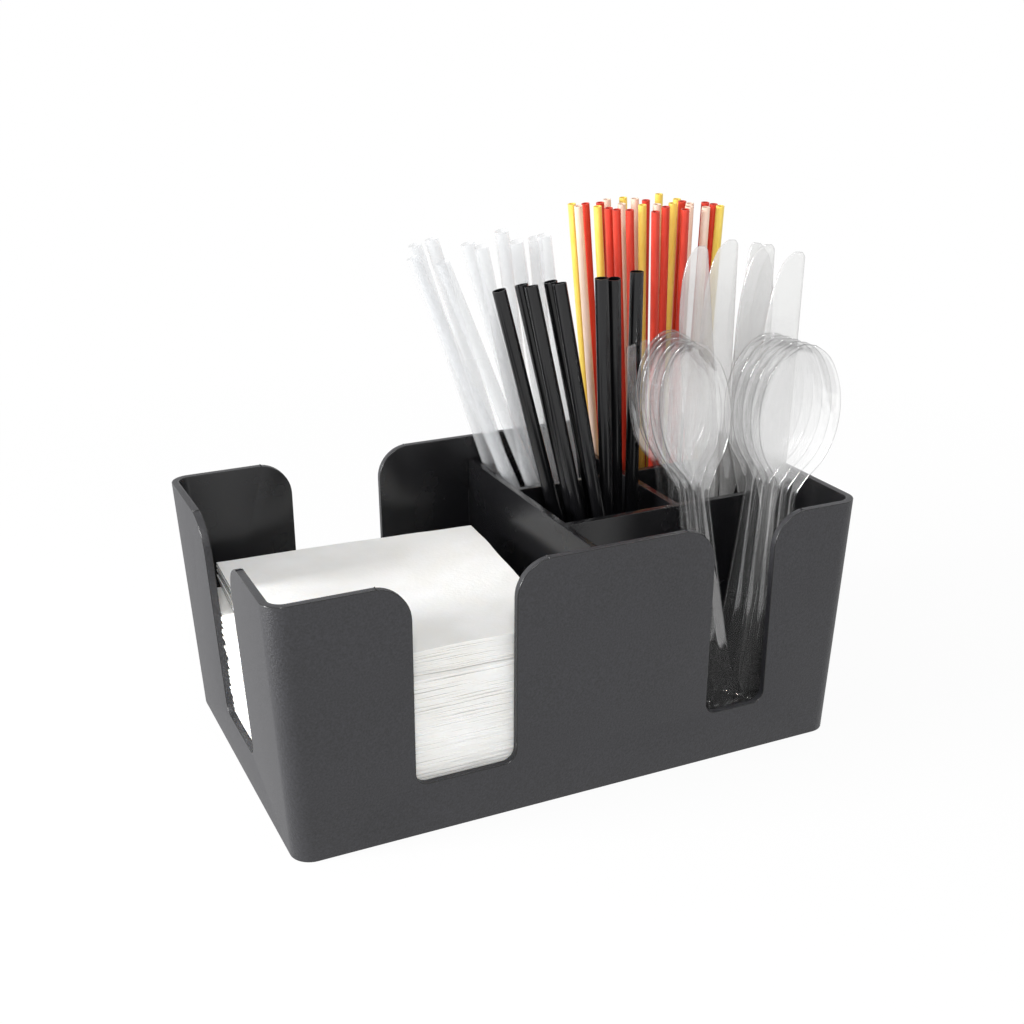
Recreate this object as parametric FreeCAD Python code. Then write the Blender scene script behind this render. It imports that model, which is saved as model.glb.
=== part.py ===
import FreeCAD, Part
import math
import os

# A bar caddy in millimetres: one moulded tub with a napkin bay and five
# compartments, and the napkins, straws, stirrers and cutlery that it holds.
# The origin is the centre of the flat base. X runs along the length with the
# napkins at the -X end, the open front faces -Y and Z is up.

TUB_LENGTH = 241.3
TUB_WIDTH = 146.0
TUB_HEIGHT = 101.6
END_TAPER = 5.4
SIDE_TAPER = 2.0
CORNER_RADIUS_RIM = 7.5
CORNER_RADIUS_BASE = 8.5
WALL = 3.0
FLOOR = 3.0

DIVIDER_TOP = 91.4
DIVIDER_THICKNESS = 3.0
DIVIDER_DRAFT = 0.3
MAIN_DIVIDER_X = 14.7
CROSS_DIVIDER_X = 66.8
FRONT_DIVIDER_Y = -22.6
REAR_DIVIDER_Y = 23.0

NAPKIN_SLOT = (-69.2, -29.2)
CUTLERY_SLOT = (53.6, 80.6)
END_SLOT = (-23.3, 16.7)
SLOT_BOTTOM = 21.0
END_SLOT_BOTTOM = 19.0
SLOT_CORNER = 5.0
SLOT_ROUNDING = 14.0
SLOT_DRAFT = 0.01
SLOT_FLARE = 0.08
CUTTER_OVERRUN = 5.0
CUTTER_OFFSET = 1.0

NAPKIN_SIZE = 112.0
NAPKIN_THICKNESS = 1.3
NAPKIN_PITCH = 1.5
NAPKIN_CORNER = 3.0
SQUARE_NAPKINS = 39
TURNED_NAPKINS = 7
TURNED_ANGLE = -3.5
TURNED_PLACE = (-108.0, -61.3)
STACK_END_GAP = 2.6
STACK_FRONT_GAP = 0.9
STACK_STRAY = 0.8
STACK_FRONT_STRAY = 0.3
TURNED_STRAY = 0.4
TURNED_SIZE = 111.0

REST_GAP = 0.3

CLEAR_STRAW_LENGTH = 197.0
CLEAR_STRAW_DIAMETER = 6.0
BLACK_STRAW_LENGTH = 181.0
BLACK_STRAW_DIAMETER = 5.6
STRAW_WALL = 0.3
STIRRER_LENGTH = 203.0
STIRRER_DIAMETER = 3.5
STIRRER_WALL = 0.4

# Each straw stands on a foot point of the floor and leans to its tip:
# foot x, foot y, tip x, tip y.
CLEAR_STRAWS = [
    (53, 29, -16, 56),
    (49, 64, -13, 61),
    (45, 40, -6, 60),
    (60, 29, -11, 36),
    (60, 44, 4, 45),
    (51, 48, 3, 29),
    (51, 58, 18, 42),
    (61, 56, 19, 30),
    (61, 64, 28, 31),
    (60, 36, 28, 23),
]
BLACK_STRAWS = [
    (45, 3, 3, 12),
    (46, -11, 15, 17),
    (44, -17, 16, 10),
    (57, -2, 25, 11),
    (50, -17, 26, 5),
    (48, -4, 40, -4),
    (61, 13, 46, -3),
    (60.3, 3, 58.8, 1.2),
]

# The stirrers stand in a loose fan: tip x and tip y of each one.
RED_STIRRERS = [
    (61, 50), (67, 48), (64, 35), (65, 30), (69, 26), (86, 42),
    (76, 17), (85, 24), (98, 32), (89, 15), (105, 25), (106, 20),
]
YELLOW_STIRRERS = [
    (56, 53), (62, 41), (81, 53), (79, 33), (99, 53), (92, 30),
    (99, 38), (106, 15),
]
CREAM_STIRRERS = [
    (56, 47), (73, 53), (84, 48), (98, 26), (94, 20),
    (99, 15), (85, 31), (73, 40),
]
FAN_FROM = (84.0, 42.0)
FAN_TO = (97.5, 57.5)
FAN_SPREAD = (0.56, 0.77)

SPOON_LENGTH = 160.5
FORK_LENGTH = 156.0
KNIFE_LENGTH = 191.5
HANDLE_THICKNESS = 1.6
NECK_THICKNESS = 1.8
RIM_SHARE = 0.6
SPOON_BOWL_START = 104.5
FORK_HEAD_START = 100.0
SPOON_HALF_WIDTH = 15.8
SPOON_DEPTH = 7.0
SPOON_STEPS = 14
SPOON_ARC = (20, 168)
SPOON_HEEL = 0.5
NECK_BELOW_HEAD = 6.0
PLASTIC_THICKNESS = 1.2

# Fork head above its start: height, half width, depth of the hollow.
FORK_HEAD = [
    (1.0, 3.6, 1.0), (6.0, 7.0, 1.8), (11.0, 10.0, 2.6), (17.0, 12.0, 3.2),
    (26.0, 12.8, 3.2), (45.0, 12.4, 2.4), (56.0, 11.8, 1.0),
]
# Handle from its rounded end: height, half width, depth of the channel.
HANDLE_END = [(0.0, 3.6, 0.5), (2.0, 5.2, 0.8), (6.0, 6.4, 1.0), (14.0, 6.6, 1.0)]
WAIST_BELOW_NECK = 24.0
WAIST = (3.4, 1.0)
NECK = (2.6, 0.8)
TINE_ROOT = 20.0
TINE_GAP = 2.6
TINE_PITCH = 6.3
KNIFE_NECK = 92.0
KNIFE_BACK = 6.0
KNIFE_WIDTH = 14.6
KNIFE_CURVE = 45.0
KNIFE_TANG = 3.0
BLADE_START = 84.0
BLADE_SHOULDER = 22.0
BLADE_INSET = 0.4
TEETH = 18
TOOTH_PITCH = 2.4
TOOTH_DEPTH = 0.6
TOOTH_RAKE = 0.4
# Knife point, each as distances back from the blade's back line and down from its top.
POINT_SHOULDER = (0.0, 3.0)
POINT_ROUND = (2.4, 0.2)
POINT_NOSE = (5.4, 1.6)
POINT_BELLY = (11.8, 19.0)


def vector(x, y, z):
    return FreeCAD.Vector(x, y, z)


def rounded_rectangle(x0, x1, y0, y1, z, radius):
    """A closed wire of four sides and four quarter arcs."""
    corners = [
        (x1 - radius, y0 + radius, -90),
        (x1 - radius, y1 - radius, 0),
        (x0 + radius, y1 - radius, 90),
        (x0 + radius, y0 + radius, 180),
    ]
    edges = []
    ends = []
    for cx, cy, start in corners:
        points = []
        for turn in (0, 45, 90):
            angle = math.radians(start + turn)
            points.append(vector(cx + radius * math.cos(angle), cy + radius * math.sin(angle), z))
        ends.append(points)
    for index, points in enumerate(ends):
        following = ends[(index + 1) % len(ends)]
        edges.append(Part.Arc(points[0], points[1], points[2]).toShape())
        edges.append(Part.LineSegment(points[2], following[0]).toShape())
    return Part.Wire(edges)


def tub_outside():
    """The tapered outer block of the moulding."""
    half_length = TUB_LENGTH / 2
    half_width = TUB_WIDTH / 2
    base = rounded_rectangle(
        -half_length + END_TAPER, half_length - END_TAPER,
        -half_width + SIDE_TAPER, half_width - SIDE_TAPER,
        0, CORNER_RADIUS_BASE,
    )
    rim = rounded_rectangle(
        -half_length, half_length, -half_width, half_width,
        TUB_HEIGHT, CORNER_RADIUS_RIM,
    )
    return Part.makeLoft([base, rim], True, True)


def inner_half_length(z):
    """Half the length between the inner faces of the end walls at height z."""
    return TUB_LENGTH / 2 - WALL - END_TAPER * (1 - z / TUB_HEIGHT)


def inner_half_width(z):
    """Half the width between the inner faces of the long walls at height z."""
    return TUB_WIDTH / 2 - WALL - SIDE_TAPER * (1 - z / TUB_HEIGHT)


def tub_cavity():
    """The space inside the walls, from the floor out through the open top."""
    above = TUB_HEIGHT + CUTTER_OVERRUN
    wires = []
    for z in (FLOOR, above):
        length = inner_half_length(z)
        width = inner_half_width(z)
        wires.append(rounded_rectangle(-length, length, -width, width, z, CORNER_RADIUS_RIM - WALL))
    return Part.makeLoft(wires, True, True)


def divider(x0, x1, y0, y1):
    """A drafted plate standing on the floor, whose ends are sunk into what carries them."""
    along_x = (x1 - x0) > (y1 - y0)
    sunk = FLOOR / 2
    wires = []
    for z, growth in ((sunk, DIVIDER_DRAFT), (DIVIDER_TOP, 0.0)):
        grow_x = 0.0 if along_x else growth
        grow_y = growth if along_x else 0.0
        points = [
            vector(x0 - grow_x, y0 - grow_y, z),
            vector(x1 + grow_x, y0 - grow_y, z),
            vector(x1 + grow_x, y1 + grow_y, z),
            vector(x0 - grow_x, y1 + grow_y, z),
        ]
        wires.append(Part.makePolygon(points + points[:1]))
    return Part.makeLoft(wires, True, True)


def tub_dividers():
    """The main divider beside the napkins and the three that part the straws and cutlery."""
    half = DIVIDER_THICKNESS / 2
    sunk = WALL / 2
    end_x = inner_half_length(0) + sunk
    end_y = inner_half_width(0) + sunk
    return [
        divider(MAIN_DIVIDER_X - half, MAIN_DIVIDER_X + half, -end_y, end_y),
        divider(MAIN_DIVIDER_X, end_x, FRONT_DIVIDER_Y - half, FRONT_DIVIDER_Y + half),
        divider(MAIN_DIVIDER_X, end_x, REAR_DIVIDER_Y - half, REAR_DIVIDER_Y + half),
        divider(CROSS_DIVIDER_X - half, CROSS_DIVIDER_X + half, FRONT_DIVIDER_Y, end_y),
    ]


def slot_outline(low, high, bottom, rounding):
    """A U-shaped slot face in the XZ plane: rounded lower corners, and sides
    that open out in a curve at the rim."""
    rim = TUB_HEIGHT
    above = rim + CUTTER_OVERRUN
    height = rim - bottom
    centre_z = rim - rounding + SLOT_FLARE
    edge = math.sqrt(rounding ** 2 - (rounding - SLOT_FLARE) ** 2)
    grow = SLOT_DRAFT * height
    slant = math.radians(45)
    left = low - grow
    right = high + grow
    cut = SLOT_CORNER * (1 - math.cos(slant))
    reach = rounding * (1 - math.cos(slant))
    rise = rounding * math.sin(slant)
    right_corner = vector(right + rounding - edge, 0, rim)
    left_corner = vector(left - rounding + edge, 0, rim)
    right_top = vector(right + rounding - edge, 0, above)
    left_top = vector(left - rounding + edge, 0, above)
    edges = [
        Part.LineSegment(vector(low + SLOT_CORNER, 0, bottom), vector(high - SLOT_CORNER, 0, bottom)),
        Part.Arc(
            vector(high - SLOT_CORNER, 0, bottom),
            vector(high - cut, 0, bottom + cut),
            vector(high, 0, bottom + SLOT_CORNER),
        ),
        Part.LineSegment(vector(high, 0, bottom + SLOT_CORNER), vector(right, 0, centre_z)),
        Part.Arc(
            vector(right, 0, centre_z),
            vector(right + reach, 0, centre_z + rise),
            right_corner,
        ),
        Part.LineSegment(right_corner, right_top),
        Part.LineSegment(right_top, left_top),
        Part.LineSegment(left_top, left_corner),
        Part.Arc(
            left_corner,
            vector(left - reach, 0, centre_z + rise),
            vector(left, 0, centre_z),
        ),
        Part.LineSegment(vector(left, 0, centre_z), vector(low, 0, bottom + SLOT_CORNER)),
        Part.Arc(
            vector(low, 0, bottom + SLOT_CORNER),
            vector(low + cut, 0, bottom + cut),
            vector(low + SLOT_CORNER, 0, bottom),
        ),
    ]
    return Part.Face(Part.Wire([edge_line.toShape() for edge_line in edges]))


def tub_slots():
    """Cutters for the two napkin slots, the cutlery slot and the end slot."""
    depth = WALL + SIDE_TAPER + CUTTER_OVERRUN - CUTTER_OFFSET
    half_width = TUB_WIDTH / 2
    napkin = slot_outline(NAPKIN_SLOT[0], NAPKIN_SLOT[1], SLOT_BOTTOM, SLOT_ROUNDING)
    cutlery = slot_outline(CUTLERY_SLOT[0], CUTLERY_SLOT[1], SLOT_BOTTOM, SLOT_ROUNDING)
    cutters = []
    for face in (napkin, cutlery):
        front = face.extrude(vector(0, depth, 0))
        front.translate(vector(0, -half_width - CUTTER_OFFSET, 0))
        cutters.append(front)
    back = napkin.extrude(vector(0, depth, 0))
    back.translate(vector(0, half_width + CUTTER_OFFSET - depth, 0))
    cutters.append(back)
    end = slot_outline(END_SLOT[0], END_SLOT[1], END_SLOT_BOTTOM, SLOT_ROUNDING)
    end = end.extrude(vector(0, WALL + END_TAPER + CUTTER_OVERRUN, 0))
    end.rotate(vector(0, 0, 0), vector(0, 0, 1), 90)
    end.translate(vector(-TUB_LENGTH / 2 + WALL + END_TAPER + CUTTER_OVERRUN - CUTTER_OFFSET, 0, 0))
    cutters.append(end)
    return cutters


def make_tub():
    """The whole moulding in one piece."""
    tub = tub_outside().cut(tub_cavity())
    for plate in tub_dividers():
        tub = tub.fuse(plate)
    for cutter in tub_slots():
        tub = tub.cut(cutter)
    return tub.removeSplitter()


def napkin(left, front, z, angle, size):
    """One quarter-folded napkin as a thin plate with rounded corners."""
    outline = rounded_rectangle(0, size, 0, size, 0, NAPKIN_CORNER)
    plate = Part.Face(outline).extrude(vector(0, 0, NAPKIN_THICKNESS))
    plate.rotate(vector(0, size, 0), vector(0, 0, 1), angle)
    plate.translate(vector(left, front, z))
    return plate


def make_square_napkins():
    """The lower napkins, pushed towards the left and front walls."""
    plates = []
    for index in range(SQUARE_NAPKINS):
        z = FLOOR + REST_GAP + index * NAPKIN_PITCH
        left = -inner_half_length(z) + STACK_END_GAP + STACK_STRAY * math.sin(2.1 * index)
        front = -inner_half_width(z) + STACK_FRONT_GAP + STACK_FRONT_STRAY * (1 + math.sin(1.3 * index))
        plates.append(napkin(left, front, z, 0.0, NAPKIN_SIZE - STACK_STRAY * math.sin(3.3 * index)))
    return Part.makeCompound(plates)


def make_turned_napkins():
    """The top napkins, loose and turned a little on the stack."""
    plates = []
    for index in range(TURNED_NAPKINS):
        z = FLOOR + REST_GAP + (SQUARE_NAPKINS + index) * NAPKIN_PITCH
        turn = TURNED_ANGLE + 0.3 * math.sin(1.7 * index)
        left = TURNED_PLACE[0] + TURNED_STRAY * math.sin(2.3 * index)
        plates.append(napkin(left, TURNED_PLACE[1], z, turn, TURNED_SIZE))
    return Part.makeCompound(plates)


def leaning_tube(foot, tip, length, diameter, wall):
    """A straight tube that stands on the floor at foot and leans to tip, both seen in plan."""
    run_x = tip[0] - foot[0]
    run_y = tip[1] - foot[1]
    run = math.hypot(run_x, run_y)
    rise = math.sqrt(length ** 2 - run ** 2)
    radius = diameter / 2
    z = FLOOR + REST_GAP + radius * run / length
    base = vector(foot[0], foot[1], z)
    way = vector(run_x, run_y, rise)
    outer = Part.makeCylinder(radius, length, base, way)
    bore = Part.makeCylinder(radius - wall, length, base, way)
    return outer.cut(bore)


def fan_foot(tip):
    """The foot of a stirrer in the fan, from its tip."""
    x = FAN_TO[0] + FAN_SPREAD[0] * (tip[0] - FAN_FROM[0])
    y = FAN_TO[1] + FAN_SPREAD[1] * (tip[1] - FAN_FROM[1])
    return (x, y)


def make_stirrers(tips):
    """All the stirrers of one colour."""
    tubes = []
    for tip in tips:
        tubes.append(leaning_tube(fan_foot(tip), tip, STIRRER_LENGTH, STIRRER_DIAMETER, STIRRER_WALL))
    return Part.makeCompound(tubes)


def crescent(z, half_width, depth, thickness):
    """A cross-section of a spoon or handle: two arcs closed by short rims."""
    rim = thickness * RIM_SHARE
    edges = [
        Part.Arc(vector(-half_width, 0, z), vector(0, depth + thickness, z), vector(half_width, 0, z)),
        Part.LineSegment(vector(half_width, 0, z), vector(half_width - rim, -rim, z)),
        Part.Arc(vector(half_width - rim, -rim, z), vector(0, depth, z), vector(-half_width + rim, -rim, z)),
        Part.LineSegment(vector(-half_width + rim, -rim, z), vector(-half_width, 0, z)),
    ]
    return Part.Wire([edge.toShape() for edge in edges])


def handle_sections(neck):
    """Sections of a channelled handle, from its rounded end to the neck."""
    sections = [crescent(z, half_width, depth, HANDLE_THICKNESS) for z, half_width, depth in HANDLE_END]
    sections.append(crescent(neck - WAIST_BELOW_NECK, WAIST[0], WAIST[1], HANDLE_THICKNESS))
    sections.append(crescent(neck, NECK[0], NECK[1], NECK_THICKNESS))
    return sections


def make_spoon():
    """A spoon standing on its handle, the hollow of its bowl towards -Y."""
    reach = SPOON_LENGTH - SPOON_BOWL_START
    sections = handle_sections(SPOON_BOWL_START - NECK_BELOW_HEAD)
    first, last = SPOON_ARC
    for step in range(1, SPOON_STEPS + 1):
        turn = math.radians(first + (last - first) * step / SPOON_STEPS)
        share = (1 - math.cos(turn)) / (1 - math.cos(math.radians(last)))
        width = SPOON_HALF_WIDTH * math.sin(turn)
        depth = SPOON_DEPTH * math.sin(turn) * min(1.0, SPOON_HEEL + step / SPOON_STEPS)
        sections.append(crescent(SPOON_BOWL_START + share * reach, width, depth, PLASTIC_THICKNESS))
    return Part.makeLoft(sections, True, True)


def make_fork():
    """A fork standing on its handle, with four tines."""
    sections = handle_sections(FORK_HEAD_START - NECK_BELOW_HEAD)
    for above_head, half_width, depth in FORK_HEAD:
        sections.append(crescent(FORK_HEAD_START + above_head, half_width, depth, PLASTIC_THICKNESS))
    fork = Part.makeLoft(sections, True, True)
    for number in (-1, 0, 1):
        side = number * TINE_PITCH - TINE_GAP / 2
        cutter = Part.makeBox(TINE_GAP, 30.0, FORK_LENGTH, vector(side, -15.0, FORK_HEAD_START + TINE_ROOT))
        fork = fork.cut(cutter)
    return fork


def make_knife():
    """A knife standing on its handle: a straight back and a curved, toothed edge."""
    handle = Part.makeLoft(handle_sections(KNIFE_NECK), True, True)
    edge = KNIFE_BACK - KNIFE_WIDTH
    belly = KNIFE_LENGTH - KNIFE_CURVE
    shoulder, round_over, nose, curve = [
        vector(KNIFE_BACK - back, 0, KNIFE_LENGTH - down)
        for back, down in (POINT_SHOULDER, POINT_ROUND, POINT_NOSE, POINT_BELLY)
    ]
    heel = vector(KNIFE_BACK, 0, BLADE_START + BLADE_SHOULDER)
    lines = [
        Part.LineSegment(vector(KNIFE_TANG, 0, BLADE_START), heel),
        Part.LineSegment(heel, shoulder),
        Part.Arc(shoulder, round_over, nose),
        Part.Arc(nose, curve, vector(edge, 0, belly)),
    ]
    z = belly
    for number in range(TEETH):
        bite = vector(edge + TOOTH_DEPTH, 0, z - TOOTH_PITCH * TOOTH_RAKE)
        lines.append(Part.LineSegment(vector(edge, 0, z), bite))
        z -= TOOTH_PITCH
        lines.append(Part.LineSegment(bite, vector(edge, 0, z)))
    lines.append(Part.LineSegment(vector(edge, 0, z), vector(-KNIFE_TANG, 0, BLADE_START)))
    lines.append(Part.LineSegment(vector(-KNIFE_TANG, 0, BLADE_START), vector(KNIFE_TANG, 0, BLADE_START)))
    face = Part.Face(Part.Wire([line.toShape() for line in lines]))
    blade = face.extrude(vector(0, PLASTIC_THICKNESS, 0))
    blade.translate(vector(0, BLADE_INSET, 0))
    return handle.fuse(blade)


def stood(shape, foot, tip, turn):
    """A piece of cutlery stood on its foot, leaning to its tip and turned about its own length.
    foot and tip are plan points, and the tip lies as high as the length allows."""
    length = shape.BoundBox.ZLength
    run_x = tip[0] - foot[0]
    run_y = tip[1] - foot[1]
    rise = math.sqrt(length ** 2 - run_x ** 2 - run_y ** 2)
    way = vector(run_x, run_y, rise)
    placed = shape.copy()
    placed.rotate(vector(0, 0, 0), vector(0, 0, 1), turn)
    placed.Placement = FreeCAD.Placement(
        vector(0, 0, 0), FreeCAD.Rotation(vector(0, 0, 1), way)
    ).multiply(placed.Placement)
    lowest = placed.BoundBox.ZMin
    placed.translate(vector(foot[0], foot[1], FLOOR + REST_GAP - lowest))
    return placed


# Cutlery places: name, foot x, foot y, tip x, tip y, turn about the length.
SPOONS = [
    ("front_spoon_1", 78.5, -46, 62.5, -34.5, -4),
    ("front_spoon_2", 76.8, -41.6, 60.8, -30.1, -4),
    ("front_spoon_3", 75.1, -37.2, 59.6, -25.7, -4),
    ("front_spoon_4", 96, -49, 99.6, -60, -24),
    ("front_spoon_5", 94.8, -44.8, 99.2, -54.7, -24),
    ("front_spoon_6", 93.5, -40.5, 98.8, -49.4, -24),
    ("front_spoon_7", 91.4, -35.7, 98.4, -44, -24),
    ("front_spoon_8", 89.3, -30.9, 98, -38.6, -24),
    ("rear_spoon_1", 82, -12.8, 64, -18.4, -4),
    ("rear_spoon_2", 82.3, -9.3, 64.3, -14.9, -4),
]
FORKS = [
    ("rear_fork", 87, 4, 61.8, -7.5, -2),
]
KNIVES = [
    ("rear_knife_1", 95.5, -17, 83.6, -1.2, -18),
    ("rear_knife_2", 94.7, -5.4, 102.7, 5.5, -24),
    ("rear_knife_3", 90.5, -9, 117, -2.5, 156),
    ("rear_knife_4", 106, -14.5, 108.4, -12.4, -24),
    ("front_knife", 102, -34, 110.2, -30.5, -24),
]


def save(shape, name):
    shape.exportStep("parts/" + name + ".step")


os.makedirs("parts", exist_ok=True)
save(make_tub(), "tub")
save(make_square_napkins(), "square_napkins")
save(make_turned_napkins(), "turned_napkins")
for number, place in enumerate(CLEAR_STRAWS):
    straw = leaning_tube(place[:2], place[2:], CLEAR_STRAW_LENGTH, CLEAR_STRAW_DIAMETER, STRAW_WALL)
    save(straw, "clear_straw_" + str(number + 1))
for number, place in enumerate(BLACK_STRAWS):
    straw = leaning_tube(place[:2], place[2:], BLACK_STRAW_LENGTH, BLACK_STRAW_DIAMETER, STRAW_WALL)
    save(straw, "black_straw_" + str(number + 1))
save(make_stirrers(RED_STIRRERS), "red_stirrers")
save(make_stirrers(YELLOW_STIRRERS), "yellow_stirrers")
save(make_stirrers(CREAM_STIRRERS), "cream_stirrers")
for pattern, places in ((make_spoon(), SPOONS), (make_fork(), FORKS), (make_knife(), KNIVES)):
    for name, foot_x, foot_y, tip_x, tip_y, turn in places:
        save(stood(pattern, (foot_x, foot_y), (tip_x, tip_y), turn), name)
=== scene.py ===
import math
import random

import bmesh
import bpy
from mathutils import Matrix, Vector, noise


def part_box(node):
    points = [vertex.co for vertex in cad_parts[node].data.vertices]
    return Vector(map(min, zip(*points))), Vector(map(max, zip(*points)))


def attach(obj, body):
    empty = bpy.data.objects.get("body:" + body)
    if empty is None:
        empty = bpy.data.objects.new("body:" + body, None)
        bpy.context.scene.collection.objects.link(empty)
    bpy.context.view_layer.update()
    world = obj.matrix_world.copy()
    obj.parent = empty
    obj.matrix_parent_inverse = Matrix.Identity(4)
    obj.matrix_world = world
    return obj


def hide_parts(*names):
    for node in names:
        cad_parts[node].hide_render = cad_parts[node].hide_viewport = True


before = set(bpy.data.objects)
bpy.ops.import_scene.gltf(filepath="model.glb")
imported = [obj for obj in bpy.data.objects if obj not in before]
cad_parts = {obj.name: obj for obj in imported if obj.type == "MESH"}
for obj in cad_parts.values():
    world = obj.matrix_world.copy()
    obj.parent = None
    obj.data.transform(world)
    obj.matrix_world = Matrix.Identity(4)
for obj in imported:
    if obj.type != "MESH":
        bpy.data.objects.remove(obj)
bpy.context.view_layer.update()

# Tub: one injection moulding in black ABS. The mould is spark-eroded outside,
# which leaves a fine sand grain, and polished inside. Its rim and divider tops
# are rounded, so each shows as a thin pale line.


def linear(code):
    """A '#rrggbb' colour as linear RGBA."""
    values = []
    for place in (1, 3, 5):
        share = int(code[place:place + 2], 16) / 255
        values.append(share / 12.92 if share <= 0.04045 else ((share + 0.055) / 1.055) ** 2.4)
    return (*values, 1.0)


def new_material(name):
    """An empty node material and its Principled shader, already linked to the output."""
    material = bpy.data.materials.new(name)
    material.use_nodes = True
    return material, material.node_tree.nodes["Principled BSDF"]


def node(material, kind, settings=None, links=None):
    """Adds one shader node: settings by attribute or input name, links as {input: (node, output)}."""
    made = material.node_tree.nodes.new(kind)
    for key, value in (settings or {}).items():
        if isinstance(key, int) or key in made.inputs:
            made.inputs[key].default_value = value
        else:
            setattr(made, key, value)
    for key, (source, output) in (links or {}).items():
        material.node_tree.links.new(source.outputs[output], made.inputs[key])
    return made


def link(material, source, output, target, socket):
    material.node_tree.links.new(source.outputs[output], target.inputs[socket])


def black_abs_grained():
    """Spark-eroded ABS: near black, with a 0.5 mm sand grain that scatters light into grey."""
    material, shader = new_material("black_abs_grained")
    shader.inputs["Roughness"].default_value = 0.5
    shader.inputs["IOR"].default_value = 1.54
    place = node(material, "ShaderNodeTexCoord")
    grain = node(material, "ShaderNodeTexNoise", {"Scale": 1300.0, "Detail": 3.0, "Roughness": 0.6},
                 {"Vector": (place, "Object")})
    patches = node(material, "ShaderNodeTexNoise", {"Scale": 45.0, "Detail": 2.0},
                   {"Vector": (place, "Object")})
    mixed = node(material, "ShaderNodeMath", {"operation": "MULTIPLY_ADD", 1: 0.12},
                 {0: (patches, "Fac"), 2: (grain, "Fac")})
    tone = node(material, "ShaderNodeValToRGB", None, {"Fac": (mixed, "Value")})
    tone.color_ramp.elements[0].position = 0.35
    tone.color_ramp.elements[0].color = linear("#1a1a1c")
    tone.color_ramp.elements[1].position = 0.8
    tone.color_ramp.elements[1].color = linear("#2f2f34")
    bump = node(material, "ShaderNodeBump", {"Strength": 0.6, "Distance": 0.0004}, {"Height": (grain, "Fac")})
    link(material, tone, "Color", shader, "Base Color")
    link(material, bump, "Normal", shader, "Normal")
    return material


def black_abs_polished():
    """The same ABS off a polished core: deep black with soft, clear reflections."""
    material, shader = new_material("black_abs_polished")
    shader.inputs["Base Color"].default_value = linear("#101012")
    shader.inputs["IOR"].default_value = 1.54
    place = node(material, "ShaderNodeTexCoord")
    smear = node(material, "ShaderNodeTexNoise", {"Scale": 60.0, "Detail": 4.0},
                 {"Vector": (place, "Object")})
    rough = node(material, "ShaderNodeMapRange", {"To Min": 0.2, "To Max": 0.32}, {"Value": (smear, "Fac")})
    link(material, rough, "Result", shader, "Roughness")
    return material


def block(name, low, high):
    """A cube between two corners, made in place."""
    bpy.ops.object.select_all(action="DESELECT")
    middle = [(a + b) / 2 for a, b in zip(low, high)]
    size = [b - a for a, b in zip(low, high)]
    bpy.ops.mesh.primitive_cube_add(size=1.0, location=middle, scale=size)
    made = bpy.context.object
    made.name = name
    bpy.ops.object.transform_apply(location=True, rotation=True, scale=True)
    return made


def edit(piece, chosen, mode):
    """Enters edit mode with only the faces or edges that chosen() accepts selected."""
    bpy.context.view_layer.objects.active = piece
    bpy.ops.object.mode_set(mode="EDIT")
    bpy.ops.mesh.select_mode(type=mode)
    bpy.ops.mesh.select_all(action="DESELECT")
    mesh = bmesh.from_edit_mesh(piece.data)
    for part in (mesh.faces if mode == "FACE" else mesh.edges):
        part.select_set(chosen(part))
    bmesh.update_edit_mesh(piece.data)


def leave():
    bpy.ops.object.mode_set(mode="OBJECT")


def upright(edge):
    """True for an edge that climbs more than it runs."""
    a, b = edge.verts
    return abs(a.co.z - b.co.z) > 3 * math.hypot(a.co.x - b.co.x, a.co.y - b.co.y)


def tapered_block(name, low, high, draft, radius):
    """A block that widens upwards by draft on each side, with rounded upright edges."""
    made = block(name, low, high)
    edit(made, lambda face: face.normal.z > 0.9, "FACE")
    wide = high[0] - low[0]
    deep = high[1] - low[1]
    bpy.ops.transform.resize(value=((wide + 2 * draft[0]) / wide, (deep + 2 * draft[1]) / deep, 1))
    leave()
    edit(made, upright, "EDGE")
    bpy.ops.mesh.bevel(offset=radius, segments=10, affect="EDGES")
    leave()
    return made


def combine(piece, tool, operation):
    """Joins or cuts two closed meshes and removes the tool."""
    change = piece.modifiers.new("combine", "BOOLEAN")
    change.operation = operation
    change.object = tool
    change.solver = "EXACT"
    change.material_mode = "TRANSFER"
    bpy.context.view_layer.objects.active = piece
    bpy.ops.object.modifier_apply(modifier=change.name)
    bpy.data.objects.remove(tool)


def finish_rounding(piece, width, steps, angle):
    """Rounds every edge sharper than angle, and shades the rest smooth."""
    bpy.ops.object.select_all(action="DESELECT")
    piece.select_set(True)
    bpy.context.view_layer.objects.active = piece
    change = piece.modifiers.new("rounding", "BEVEL")
    change.width = width
    change.segments = steps
    change.limit_method = "ANGLE"
    change.angle_limit = math.radians(angle)
    change.material = 1
    bpy.ops.object.modifier_apply(modifier=change.name)
    bpy.ops.object.shade_smooth_by_angle(angle=math.radians(angle))


tub_low, tub_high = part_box("tub")
rim = tub_high.z
half_length = tub_high.x
half_width = tub_high.y
end_taper = 0.0054
side_taper = 0.0020
wall = 0.0030
floor_top = 0.0030
divider_top = 0.0914
outer_corner = 0.0080
inner_corner = 0.0050

tub = tapered_block(
    "black_tub",
    (-half_length + end_taper, -half_width + side_taper, 0),
    (half_length - end_taper, half_width - side_taper, rim),
    (end_taper, side_taper), outer_corner,
)
tub.data.materials.append(black_abs_grained())
polished = black_abs_polished()
over_rim = 0.005
rise = (rim + over_rim - floor_top) / rim
floor_share = 1 - floor_top / rim
core_x = half_length - wall - end_taper * floor_share
core_y = half_width - wall - side_taper * floor_share
core = tapered_block(
    "core", (-core_x, -core_y, floor_top), (core_x, core_y, rim + over_rim),
    (end_taper * rise, side_taper * rise), inner_corner,
)
core.data.materials.append(polished)
combine(tub, core, "DIFFERENCE")

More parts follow.
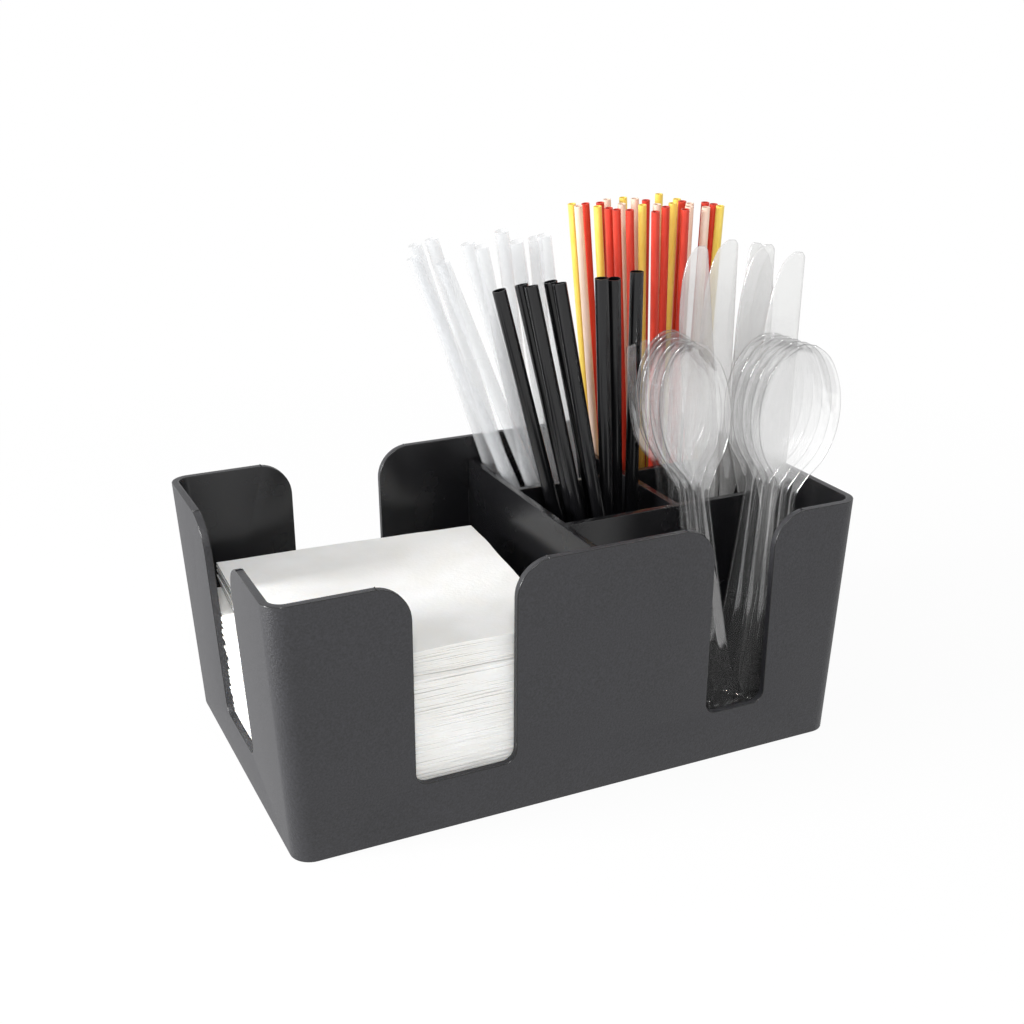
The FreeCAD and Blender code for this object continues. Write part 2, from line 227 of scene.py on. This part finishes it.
plate = 0.0030
main_x = 0.0147
cross_x = 0.0668
front_y = -0.0226
rear_y = 0.0230
sunk = 0.0015
end_x = half_length - wall - end_taper + sunk
end_y = half_width - wall - side_taper + sunk
for low, high in (
    ((main_x - plate / 2, -end_y), (main_x + plate / 2, end_y)),
    ((main_x, front_y - plate / 2), (end_x, front_y + plate / 2)),
    ((main_x, rear_y - plate / 2), (end_x, rear_y + plate / 2)),
    ((cross_x - plate / 2, front_y), (cross_x + plate / 2, end_y)),
):
    divider = block("divider", (*low, sunk), (*high, divider_top))
    divider.data.materials.append(polished)
    combine(tub, divider, "UNION")


slot_depth = 0.009
slot_corner = 0.005
slot_flare = 0.02


def slot_cutter(low, high, bottom, rounding, steps=12):
    """A U-shaped cutter along Y with rounded lower corners, opening out in a curve at the rim."""
    made = block("slot", (low, -slot_depth / 2, bottom), (high, slot_depth / 2, rim - rounding))
    edit(made, lambda edge: all(v.co.z < bottom + 0.0001 for v in edge.verts)
         and abs(edge.verts[0].co.y - edge.verts[1].co.y) > 0.001, "EDGE")
    bpy.ops.mesh.bevel(offset=slot_corner, segments=8, affect="EDGES")
    leave()
    edit(made, lambda face: face.normal.z > 0.9 and face.calc_center_median().z > bottom + 0.01, "FACE")
    middle = (low + high) / 2
    wide = high - low
    for step in range(1, steps + 1):
        turn = math.radians(90) * step / steps
        before = math.radians(90) * (step - 1) / steps
        wider = high - low + 2 * rounding * (1 - math.cos(turn))
        climb = rounding * (math.sin(turn) - math.sin(before))
        if step == steps:
            wider = wide + 2 * rounding * slot_flare
        bpy.ops.mesh.extrude_region_move(TRANSFORM_OT_translate={"value": (0, 0, climb)})
        bpy.ops.transform.resize(value=(wider / wide, 1, 1), center_override=(middle, 0, rim))
        wide = wider
    bpy.ops.mesh.extrude_region_move(TRANSFORM_OT_translate={"value": (0, 0, over_rim)})
    leave()
    return made


def place(piece, move, turn=0.0):
    """Turns a mesh about Z and moves it, leaving its object at the origin."""
    piece.data.transform(Matrix.Translation(move) @ Matrix.Rotation(math.radians(turn), 4, "Z"))


slot_edges = (0.021, 0.014)
end_slot_edges = (0.019, 0.014)
end_wall_share = 1.3
napkin_slot = (-0.0692, -0.0292)
cutlery_slot = (0.0536, 0.0806)
end_slot = (-0.0233, 0.0167)
across_wall = half_width - wall / 2 - side_taper / 2
for (low, high), y in ((napkin_slot, -across_wall), (cutlery_slot, -across_wall), (napkin_slot, across_wall)):
    cutter = slot_cutter(low, high, *slot_edges)
    place(cutter, (0, y, 0))
    combine(tub, cutter, "DIFFERENCE")
cutter = slot_cutter(*end_slot, *end_slot_edges)
cutter.data.transform(Matrix.Diagonal((1, end_wall_share, 1, 1)))
place(cutter, (-half_length + wall / 2 + end_taper / 2, 0, 0), 90)
combine(tub, cutter, "DIFFERENCE")
edge_rounding = 0.0007
finish_rounding(tub, edge_rounding, 3, 35)
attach(tub, "caddy")
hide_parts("tub")

# Napkins: white two-ply tissue, folded in quarters by machine and stacked. Each
# is soft, so its edges are a little out of line and its face is never quite flat.


def tissue():
    """Tissue paper: a dull white with a fine emboss and a faint warm shade in the folds."""
    material, shader = new_material("white_tissue")
    shader.inputs["Roughness"].default_value = 0.9
    shader.inputs["Specular IOR Level"].default_value = 0.2
    shader.inputs["Subsurface Weight"].default_value = 0.4
    shader.inputs["Subsurface Radius"].default_value = (0.003, 0.0026, 0.0022)
    where = node(material, "ShaderNodeTexCoord")
    fibre = node(material, "ShaderNodeTexNoise", {"Scale": 700.0, "Detail": 4.0},
                 {"Vector": (where, "Object")})
    cloud = node(material, "ShaderNodeTexNoise", {"Scale": 35.0, "Detail": 3.0},
                 {"Vector": (where, "Object")})
    tone = node(material, "ShaderNodeValToRGB", None, {"Fac": (cloud, "Fac")})
    tone.color_ramp.elements[0].position = 0.3
    tone.color_ramp.elements[0].color = linear("#ebeae6")
    tone.color_ramp.elements[1].position = 0.7
    tone.color_ramp.elements[1].color = linear("#f6f6f5")
    bump = node(material, "ShaderNodeBump", {"Strength": 0.3, "Distance": 0.0003}, {"Height": (fibre, "Fac")})
    link(material, tone, "Color", shader, "Base Color")
    link(material, bump, "Normal", shader, "Normal")
    return material


sheet_cells = 18
sheet_share = 0.95
stray_x = (-0.6, 0.5)
stray_y = (-0.15, 0.25)
edge_ripple = 0.0005
face_swell = 0.00025


def napkin_pile(name, corners, low, layers, pitch, lift, chance):
    """A pile of soft sheets. corners gives the four corners of layer 0 to 1; lift(x, y, share) is
    how far the pile rises above flat, and chance draws the small shifts."""
    pile = bmesh.new()
    for layer in range(layers):
        share = layer / max(1, layers - 1)
        shift_x = chance.uniform(*stray_x) * 0.001
        shift_y = chance.uniform(*stray_y) * 0.001
        seed = chance.uniform(0, 50)
        bpy.ops.object.select_all(action="DESELECT")
        bpy.ops.mesh.primitive_grid_add(x_subdivisions=sheet_cells, y_subdivisions=sheet_cells, size=2.0)
        sheet = bpy.context.object
        for point in sheet.data.vertices:
            u = (point.co.x + 1) / 2
            v = (point.co.y + 1) / 2
            a, b, c, d = corners(share)
            x = (a[0] * (1 - u) + b[0] * u) * (1 - v) + (d[0] * (1 - u) + c[0] * u) * v
            y = (a[1] * (1 - u) + b[1] * u) * (1 - v) + (d[1] * (1 - u) + c[1] * u) * v
            rough = noise.noise(Vector((x * 25, y * 25, seed)))
            ripple = noise.noise(Vector((x * 60, y * 60, seed + 9)))
            out = max(abs(point.co.x), abs(point.co.y)) ** 8
            point.co.x = x + shift_x + edge_ripple * out * ripple
            point.co.y = y + shift_y + edge_ripple * out * noise.noise(Vector((x * 70, y * 70, seed)))
            swell = face_swell * rough * min(1.0, 4 * share + 0.3)
            point.co.z = low + layer * pitch + lift(x, y, share) + swell
        thick = sheet.modifiers.new("thickness", "SOLIDIFY")
        thick.thickness = pitch * sheet_share
        thick.offset = 1.0
        bpy.context.view_layer.objects.active = sheet
        bpy.ops.object.modifier_apply(modifier=thick.name)
        pile.from_mesh(sheet.data)
        bpy.data.objects.remove(sheet)
    mesh = bpy.data.meshes.new(name)
    pile.to_mesh(mesh)
    pile.free()
    made = bpy.data.objects.new(name, mesh)
    bpy.context.collection.objects.link(made)
    bpy.ops.object.select_all(action="DESELECT")
    made.select_set(True)
    bpy.context.view_layer.objects.active = made
    bpy.ops.object.shade_smooth_by_angle(angle=math.radians(50))
    return made


paper = tissue()
square_low, square_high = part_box("square_napkins")
turned_low, turned_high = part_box("turned_napkins")


napkin_side = 0.1115
wave_height = 0.0012
end_sag = 0.0006


def square_corners(share):
    """Corners of the lower napkins: the left side follows the slope of the tub's end."""
    left = square_low.x + 0.0012 - 0.0030 * share
    right = left + napkin_side
    front = square_low.y + 0.0010 - 0.0010 * share
    return (left, front), (right, front), (right, front + napkin_side), (left, front + napkin_side)


def turned_corners(share):
    """Corners of the loose napkins on top, turned a little clockwise."""
    return (
        (turned_low.x + 0.0006, turned_low.y + 0.0055),
        (turned_high.x - 0.0125 + 0.001 * share, turned_low.y + 0.0008),
        (turned_high.x - 0.0008, turned_high.y - 0.0085),
        (turned_low.x + 0.0065, turned_high.y - 0.0006),
    )


def flat_lift(x, y, share):
    return 0.0


def wavy_lift(x, y, share):
    """The loose napkins sag towards the ends and lift in low waves."""
    return share * (wave_height * math.sin(x * 55 + 0.8) * math.cos(y * 38) - end_sag)


chance = random.Random(4)
lower_layers = 78
lower_pitch = (square_high.z - square_low.z) / lower_layers
square_pile = napkin_pile("square_napkin_pile", square_corners, square_low.z, lower_layers, lower_pitch,
                          flat_lift, chance)
upper_layers = 14
upper_pitch = (turned_high.z - turned_low.z - 0.0006) / upper_layers
turned_pile = napkin_pile("turned_napkin_pile", turned_corners, turned_low.z, upper_layers, upper_pitch,
                          wavy_lift, chance)
for pile, held in ((square_pile, "square_napkins"), (turned_pile, "turned_napkins")):
    pile.data.materials.append(paper)
    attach(pile, "napkins")
    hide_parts(held)

# Straws: extruded polypropylene tubes cut square. The clear ones are milky, the
# black ones glossy. They stand on the floor of the tub and lean out of it.


def clear_polypropylene():
    """Natural polypropylene: translucent, with a dull gloss."""
    material, shader = new_material("natural_polypropylene")
    shader.inputs["Base Color"].default_value = linear("#dcdee0")
    shader.inputs["Roughness"].default_value = 0.28
    shader.inputs["IOR"].default_value = 1.49
    shader.inputs["Alpha"].default_value = 0.2
    return material


def coloured_polypropylene(name, colour, shade, roughness):
    """Extruded polypropylene in one colour, with faint draw lines along the tube."""
    material, shader = new_material(name)
    shader.inputs["Roughness"].default_value = roughness
    shader.inputs["IOR"].default_value = 1.49
    where = node(material, "ShaderNodeTexCoord")
    stretch = node(material, "ShaderNodeMapping", {"Scale": (900.0, 900.0, 30.0)},
                   {"Vector": (where, "Object")})
    streaks = node(material, "ShaderNodeTexNoise", {"Scale": 1.0, "Detail": 2.0},
                   {"Vector": (stretch, "Vector")})
    tone = node(material, "ShaderNodeValToRGB", None, {"Fac": (streaks, "Fac")})
    tone.color_ramp.elements[0].position = 0.3
    tone.color_ramp.elements[0].color = linear(shade)
    tone.color_ramp.elements[1].position = 0.7
    tone.color_ramp.elements[1].color = linear(colour)
    link(material, tone, "Color", shader, "Base Color")
    return material


def dress(name, material, slot):
    """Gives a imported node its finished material."""
    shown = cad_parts[name]
    shown.data.materials.clear()
    shown.data.materials.append(material)


natural = clear_polypropylene()
black_straw = coloured_polypropylene("black_polypropylene", "#0e0e10", "#08080a", 0.25)
red_straw = coloured_polypropylene("red_polypropylene", "#d8402c", "#c83524", 0.35)
yellow_straw = coloured_polypropylene("yellow_polypropylene", "#fbe070", "#f3d158", 0.35)
cream_straw = coloured_polypropylene("cream_polypropylene", "#f6dccb", "#f0cfb8", 0.35)
for number in range(1, 11):
    dress("clear_straw_" + str(number), natural, "clear_straw")
for number in range(1, 9):
    dress("black_straw_" + str(number), black_straw, "black_straw")
for name, material in (("red_stirrers", red_straw), ("yellow_stirrers", yellow_straw),
                       ("cream_stirrers", cream_straw)):
    dress(name, material, name)

# Cutlery: spoons, a fork and knives, injection moulded in clear polystyrene.
# Each handle is a shallow channel, which keeps a thin moulding stiff.


def polystyrene(name, veil, colour, passing):
    """Clear polystyrene off a polished mould. A thin wall passes light straight through, less so
    where it is seen edge-on, and gives sharp glints. veil is the share that it scatters, and
    passing is the tone of what it lets through."""
    material, shader = new_material(name)
    shader.inputs["Base Color"].default_value = linear(colour)
    shader.inputs["Roughness"].default_value = 0.1
    shader.inputs["IOR"].default_value = 1.55
    shader.inputs["Transmission Weight"].default_value = 0.3
    glint = node(material, "ShaderNodeBsdfGlossy", {"Color": linear("#ffffff"), "Roughness": 0.05})
    facing = node(material, "ShaderNodeLayerWeight", {"Blend": 0.5})
    passed = node(material, "ShaderNodeValToRGB", None, {"Fac": (facing, "Facing")})
    passed.color_ramp.elements[0].position = 0.55
    passed.color_ramp.elements[0].color = linear(passing)
    passed.color_ramp.elements[1].position = 0.95
    passed.color_ramp.elements[1].color = linear("#5e5e5e")
    straight = node(material, "ShaderNodeBsdfTransparent", None, {"Color": (passed, "Color")})
    steep = node(material, "ShaderNodeMath", {"operation": "POWER", 1: 2.5}, {0: (facing, "Facing")})
    mirror = node(material, "ShaderNodeMapRange", {"To Min": 0.1, "To Max": 0.55},
                  {"Value": (steep, "Value")})
    thin = node(material, "ShaderNodeMixShader", None,
                {0: (mirror, "Result"), 1: (straight, "BSDF"), 2: (glint, "BSDF")})
    both = node(material, "ShaderNodeMixShader", {0: veil}, {1: (thin, "Shader"), 2: (shader, "BSDF")})
    link(material, both, "Shader", material.node_tree.nodes["Material Output"], "Surface")
    return material


spoon_length = 0.1605
bowl_start = 0.1045
bowl_half_width = 0.0158
bowl_depth = 0.0070
wall_allowance = 0.0008
neck_below_bowl = 6
first_turn = 20
last_turn = 172
sheet_thickness = 0.0012


def between(rows, z):
    """The values at z of a list of (z, value, value...) rows, in straight lines between them."""
    for first, second in zip(rows, rows[1:]):
        if z <= second[0]:
            share = max(0.0, (z - first[0]) / (second[0] - first[0]))
            return [a + (b - a) * share for a, b in zip(first[1:], second[1:])]
    return list(rows[-1][1:])


def handle_profile(neck):
    """Left side, right side and depth of the channelled handle, by height."""
    rows = [(0.0, 3.4, 0.8), (2.0, 5.2, 1.2), (6.0, 6.4, 1.6), (14.0, 6.6, 1.7), (neck - 24.0, 3.4, 1.6),
            (neck, 2.6, 1.6)]
    return [(z / 1000, -w / 1000, w / 1000, d / 1000) for z, w, d in rows]


def spoon_profile():
    rows = handle_profile(bowl_start * 1000 - neck_below_bowl)
    steps = 16
    for step in range(1, steps + 1):
        turn = math.radians(first_turn + (last_turn - first_turn) * step / steps)
        share = (1 - math.cos(turn)) / (1 - math.cos(math.radians(last_turn)))
        width = bowl_half_width * math.sin(turn)
        depth = (bowl_depth + wall_allowance) * math.sin(turn) * min(1.0, 0.5 + step / steps)
        rows.append((bowl_start + share * (spoon_length - bowl_start), -width, width, depth))
    return rows


def moulded(name, profile, columns, rows):
    """A thin channelled moulding standing on its end: a grid bent to the profile."""
    top = profile[-1][0]
    bpy.ops.object.select_all(action="DESELECT")
    bpy.ops.mesh.primitive_grid_add(x_subdivisions=columns, y_subdivisions=rows, size=2.0)
    made = bpy.context.object
    made.name = name
    for point in made.data.vertices:
        across = point.co.x
        z = (point.co.y + 1) / 2 * top
        left, right, depth = between(profile, z)
        x = (left + right) / 2 + across * (right - left) / 2
        point.co = (x, depth * (1 - across * across), z)
    return made


def thicken(piece, thickness):
    """Gives a bent sheet its wall, rounds it and shades it smooth."""
    bpy.ops.object.select_all(action="DESELECT")
    piece.select_set(True)
    bpy.context.view_layer.objects.active = piece
    bpy.ops.object.mode_set(mode="EDIT")
    bpy.ops.mesh.select_all(action="SELECT")
    bpy.ops.mesh.normals_make_consistent(inside=False)
    leave()
    wall_change = piece.modifiers.new("wall", "SOLIDIFY")
    wall_change.thickness = thickness
    wall_change.offset = 0.0
    wall_change.use_even_offset = True
    bpy.ops.object.modifier_apply(modifier=wall_change.name)
    soft = piece.modifiers.new("soft", "SUBSURF")
    soft.levels = 1
    soft.render_levels = 1
    bpy.ops.object.modifier_apply(modifier=soft.name)
    bpy.ops.object.shade_smooth()


spoon = moulded("spoon", spoon_profile(), 12, 64)
thicken(spoon, sheet_thickness)

fork_profile = handle_profile(94.0) + [
    (0.101, -0.0036, 0.0036, 0.0016), (0.106, -0.0070, 0.0070, 0.0024), (0.111, -0.0100, 0.0100, 0.0032),
    (0.117, -0.0120, 0.0120, 0.0038), (0.126, -0.0128, 0.0128, 0.0038), (0.145, -0.0124, 0.0124, 0.0030),
    (0.156, -0.0118, 0.0118, 0.0016),
]
fork = moulded("fork", fork_profile, 20, 64)
tine_root = 0.120
tine_pitch = 0.0063
tine_gap = 0.0026


def between_tines(face):
    """True for a face that lies in one of the three gaps."""
    middle = face.calc_center_median()
    near = min(abs(middle.x - number * tine_pitch) for number in (-1, 0, 1))
    return middle.z > tine_root and near < tine_gap / 2


edit(fork, between_tines, "FACE")
bpy.ops.mesh.delete(type="FACE")
leave()
thicken(fork, sheet_thickness)

knife_length = 0.1915
knife_back = 0.0060
knife_width = 0.0146
knife_curve = 0.0450
blade_start = 0.1070
blade_thinness = 0.0001
tooth_depth = 0.0005


def knife_profile():
    """The handle's channel fades into a flat blade with a straight back and a curved, toothed edge."""
    rows = handle_profile(92.0)[:-1]
    rows.append((0.084, -0.0030, 0.0030, 0.0012))
    rows.append((blade_start - 0.001, knife_back - knife_width + 0.0004, knife_back, 2 * blade_thinness))
    teeth = 36
    belly = knife_length - knife_curve
    for number in range(teeth + 1):
        z = blade_start + (belly - blade_start) * number / teeth
        bite = tooth_depth if number % 2 else 0.0
        rows.append((z, knife_back - knife_width + bite, knife_back, blade_thinness))
    for step in range(1, 9):
        turn = math.radians(90) * step / 8
        z = belly + 0.044 * math.sin(turn)
        edge = knife_back - knife_width + (knife_width - 0.005) * (1 - math.cos(turn))
        rows.append((z, edge, knife_back - 0.0002 * step / 8, blade_thinness))
    rows.append((knife_length, knife_back - 0.0044, knife_back - 0.0014, blade_thinness))
    return rows


knife = moulded("knife", knife_profile(), 6, 130)
thicken(knife, sheet_thickness)


def own_axes(mesh, hand):
    """Centre and axes of a mesh by area: along, across and through. hand says which of the
    last two has a lopsided shape that tells its direction; the other follows by the right hand."""
    total = 0.0
    centre = Vector()
    samples = []
    mesh.calc_loop_triangles()
    for triangle in mesh.loop_triangles:
        points = [mesh.vertices[i].co for i in triangle.vertices]
        middle = (points[0] + points[1] + points[2]) / 3
        samples.append((middle, triangle.area))
        centre += middle * triangle.area
        total += triangle.area
    centre /= total
    spread = Matrix(((0, 0, 0), (0, 0, 0), (0, 0, 0)))
    for middle, area in samples:
        d = middle - centre
        for i in range(3):
            for j in range(3):
                spread[i][j] += d[i] * d[j] * area / total

    def strongest(matrix, start):
        axis = Vector(start).normalized()
        for _ in range(200):
            axis = (matrix @ axis).normalized()
        return axis

    def skew(axis):
        return sum(area * ((middle - centre).dot(axis)) ** 3 for middle, area in samples)

    along = strongest(spread, (0.1, 0.1, 1))
    if along.z < 0:
        along = -along
    size = (spread @ along).dot(along)
    rest = spread.copy()
    for i in range(3):
        for j in range(3):
            rest[i][j] -= size * along[i] * along[j]
    across = strongest(rest, (1, 0.3, 0))
    through = along.cross(across)
    if hand == "through" and skew(through) < 0 or hand == "across" and skew(across) > 0:
        across = -across
        through = -through
    return centre, Matrix((across, through, along)).transposed()


def stand_in_place(pattern, name, hand, body, material):
    """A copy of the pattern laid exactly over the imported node, which it replaces."""
    centre, axes = own_axes(pattern.data, hand)
    goal_centre, goal_axes = own_axes(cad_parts[name].data, hand)
    turn = goal_axes @ axes.transposed()
    piece = pattern.copy()
    piece.data = pattern.data.copy()
    piece.name = name + "_moulded"
    bpy.context.collection.objects.link(piece)
    piece.data.transform(Matrix.Translation(goal_centre) @ turn.to_4x4() @ Matrix.Translation(-centre))
    piece.data.materials.append(material)
    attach(piece, body)
    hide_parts(name)


crystal = polystyrene("crystal_polystyrene", 0.03, "#ffffff", "#fefefe")
milky = polystyrene("milky_polystyrene", 0.38, "#ebebea", "#f2f2f2")
for number in range(1, 9):
    stand_in_place(spoon, "front_spoon_" + str(number), "through", "front_cutlery", crystal)
for number in (1, 2):
    stand_in_place(spoon, "rear_spoon_" + str(number), "through", "rear_cutlery", crystal)
stand_in_place(fork, "rear_fork", "through", "rear_cutlery", crystal)
stand_in_place(knife, "front_knife", "across", "front_cutlery", milky)
for number in range(1, 5):
    stand_in_place(knife, "rear_knife_" + str(number), "across", "rear_cutlery", milky)
for pattern in (spoon, fork, knife):
    bpy.data.objects.remove(pattern)

# Camera: the photograph's place and angle, worked out from the tub's rim, base
# and slots.

eye = Vector((-0.22258, -0.48363, 0.29331))
azimuth = math.radians(-24.965)
elevation = math.radians(20.771)
roll = math.radians(-0.272)
focal_length = 49.22
camera_data = bpy.data.cameras.new("camera")
camera_data.lens = focal_length
camera_data.sensor_width = 36.0
camera = bpy.data.objects.new("camera", camera_data)
bpy.context.collection.objects.link(camera)
back = Vector((math.sin(azimuth) * math.cos(elevation), -math.cos(azimuth) * math.cos(elevation),
               math.sin(elevation)))
aim = (-back).to_track_quat("-Z", "Y").to_matrix().to_4x4()
camera.matrix_world = Matrix.Translation(eye) @ aim @ Matrix.Rotation(roll, 4, "Z")
bpy.context.scene.camera = camera

# Studio: a white floor that fades into a white surround, lit by large soft boxes
# from the left and above.


def seen_rays(tree):
    """1 for rays that show the background: from the camera, off gloss and through clear parts."""
    rays = tree.nodes.new("ShaderNodeLightPath")
    found = rays.outputs["Is Camera Ray"]
    for output in ("Is Glossy Ray", "Is Transmission Ray"):
        larger = tree.nodes.new("ShaderNodeMath")
        larger.operation = "MAXIMUM"
        tree.links.new(found, larger.inputs[0])
        tree.links.new(rays.outputs[output], larger.inputs[1])
        found = larger.outputs[0]
    return found


def studio_floor():
    """Matt white, shown as paper white with only a trace of the shadow, and none from 0.6 m out."""
    material, shader = new_material("white_floor")
    shader.inputs["Base Color"].default_value = linear("#f4f4f4")
    shader.inputs["Roughness"].default_value = 0.9
    glow = node(material, "ShaderNodeEmission", {"Color": linear("#ffffff"), "Strength": 1.0})
    where = node(material, "ShaderNodeTexCoord")
    away = node(material, "ShaderNodeVectorMath", {"operation": "LENGTH"}, {0: (where, "Object")})
    white = node(material, "ShaderNodeMapRange",
                 {"From Min": 0.2, "From Max": 0.6, "To Min": 0.93, "To Max": 1.0},
                 {"Value": (away, "Value")})
    shown = node(material, "ShaderNodeMath", {"operation": "MULTIPLY"}, {0: (white, "Result")})
    material.node_tree.links.new(seen_rays(material.node_tree), shown.inputs[1])
    both = node(material, "ShaderNodeMixShader", None,
                {0: (shown, "Value"), 1: (shader, "BSDF"), 2: (glow, "Emission")})
    link(material, both, "Shader", material.node_tree.nodes["Material Output"], "Surface")
    return material


bpy.ops.object.select_all(action="DESELECT")
bpy.ops.mesh.primitive_plane_add(size=6.0, location=(0, 0, 0))
ground = bpy.context.object
ground.name = "studio_floor"
ground.data.materials.append(studio_floor())

world = bpy.data.worlds.new("studio")
bpy.context.scene.world = world
world.use_nodes = True
surround = world.node_tree.nodes["Background"]
surround.inputs["Color"].default_value = (1.0, 1.0, 1.0, 1.0)
level = world.node_tree.nodes.new("ShaderNodeMapRange")
level.inputs["To Min"].default_value = 0.5
level.inputs["To Max"].default_value = 1.0
world.node_tree.links.new(seen_rays(world.node_tree), level.inputs["Value"])
world.node_tree.links.new(level.outputs["Result"], surround.inputs["Strength"])


def soft_box(name, place, aim_at, size, power):
    """A square lamp that faces a point."""
    data = bpy.data.lights.new(name, "AREA")
    data.size = size
    data.energy = power
    lamp = bpy.data.objects.new(name, data)
    bpy.context.collection.objects.link(lamp)
    lamp.location = place
    lamp.rotation_euler = (Vector(aim_at) - Vector(place)).to_track_quat("-Z", "Y").to_euler()


soft_box("key", (-1.3, 0.1, 0.4), (0, 0, 0.08), 0.4, 22.0)
soft_box("top", (-0.35, -0.85, 0.95), (0.02, 0, 0.1), 0.25, 7.0)

# Light has to pass through many nested clear walls, at two surfaces each.
bpy.context.scene.cycles.transparent_max_bounces = 32
bpy.context.scene.view_settings.view_transform = "Standard"
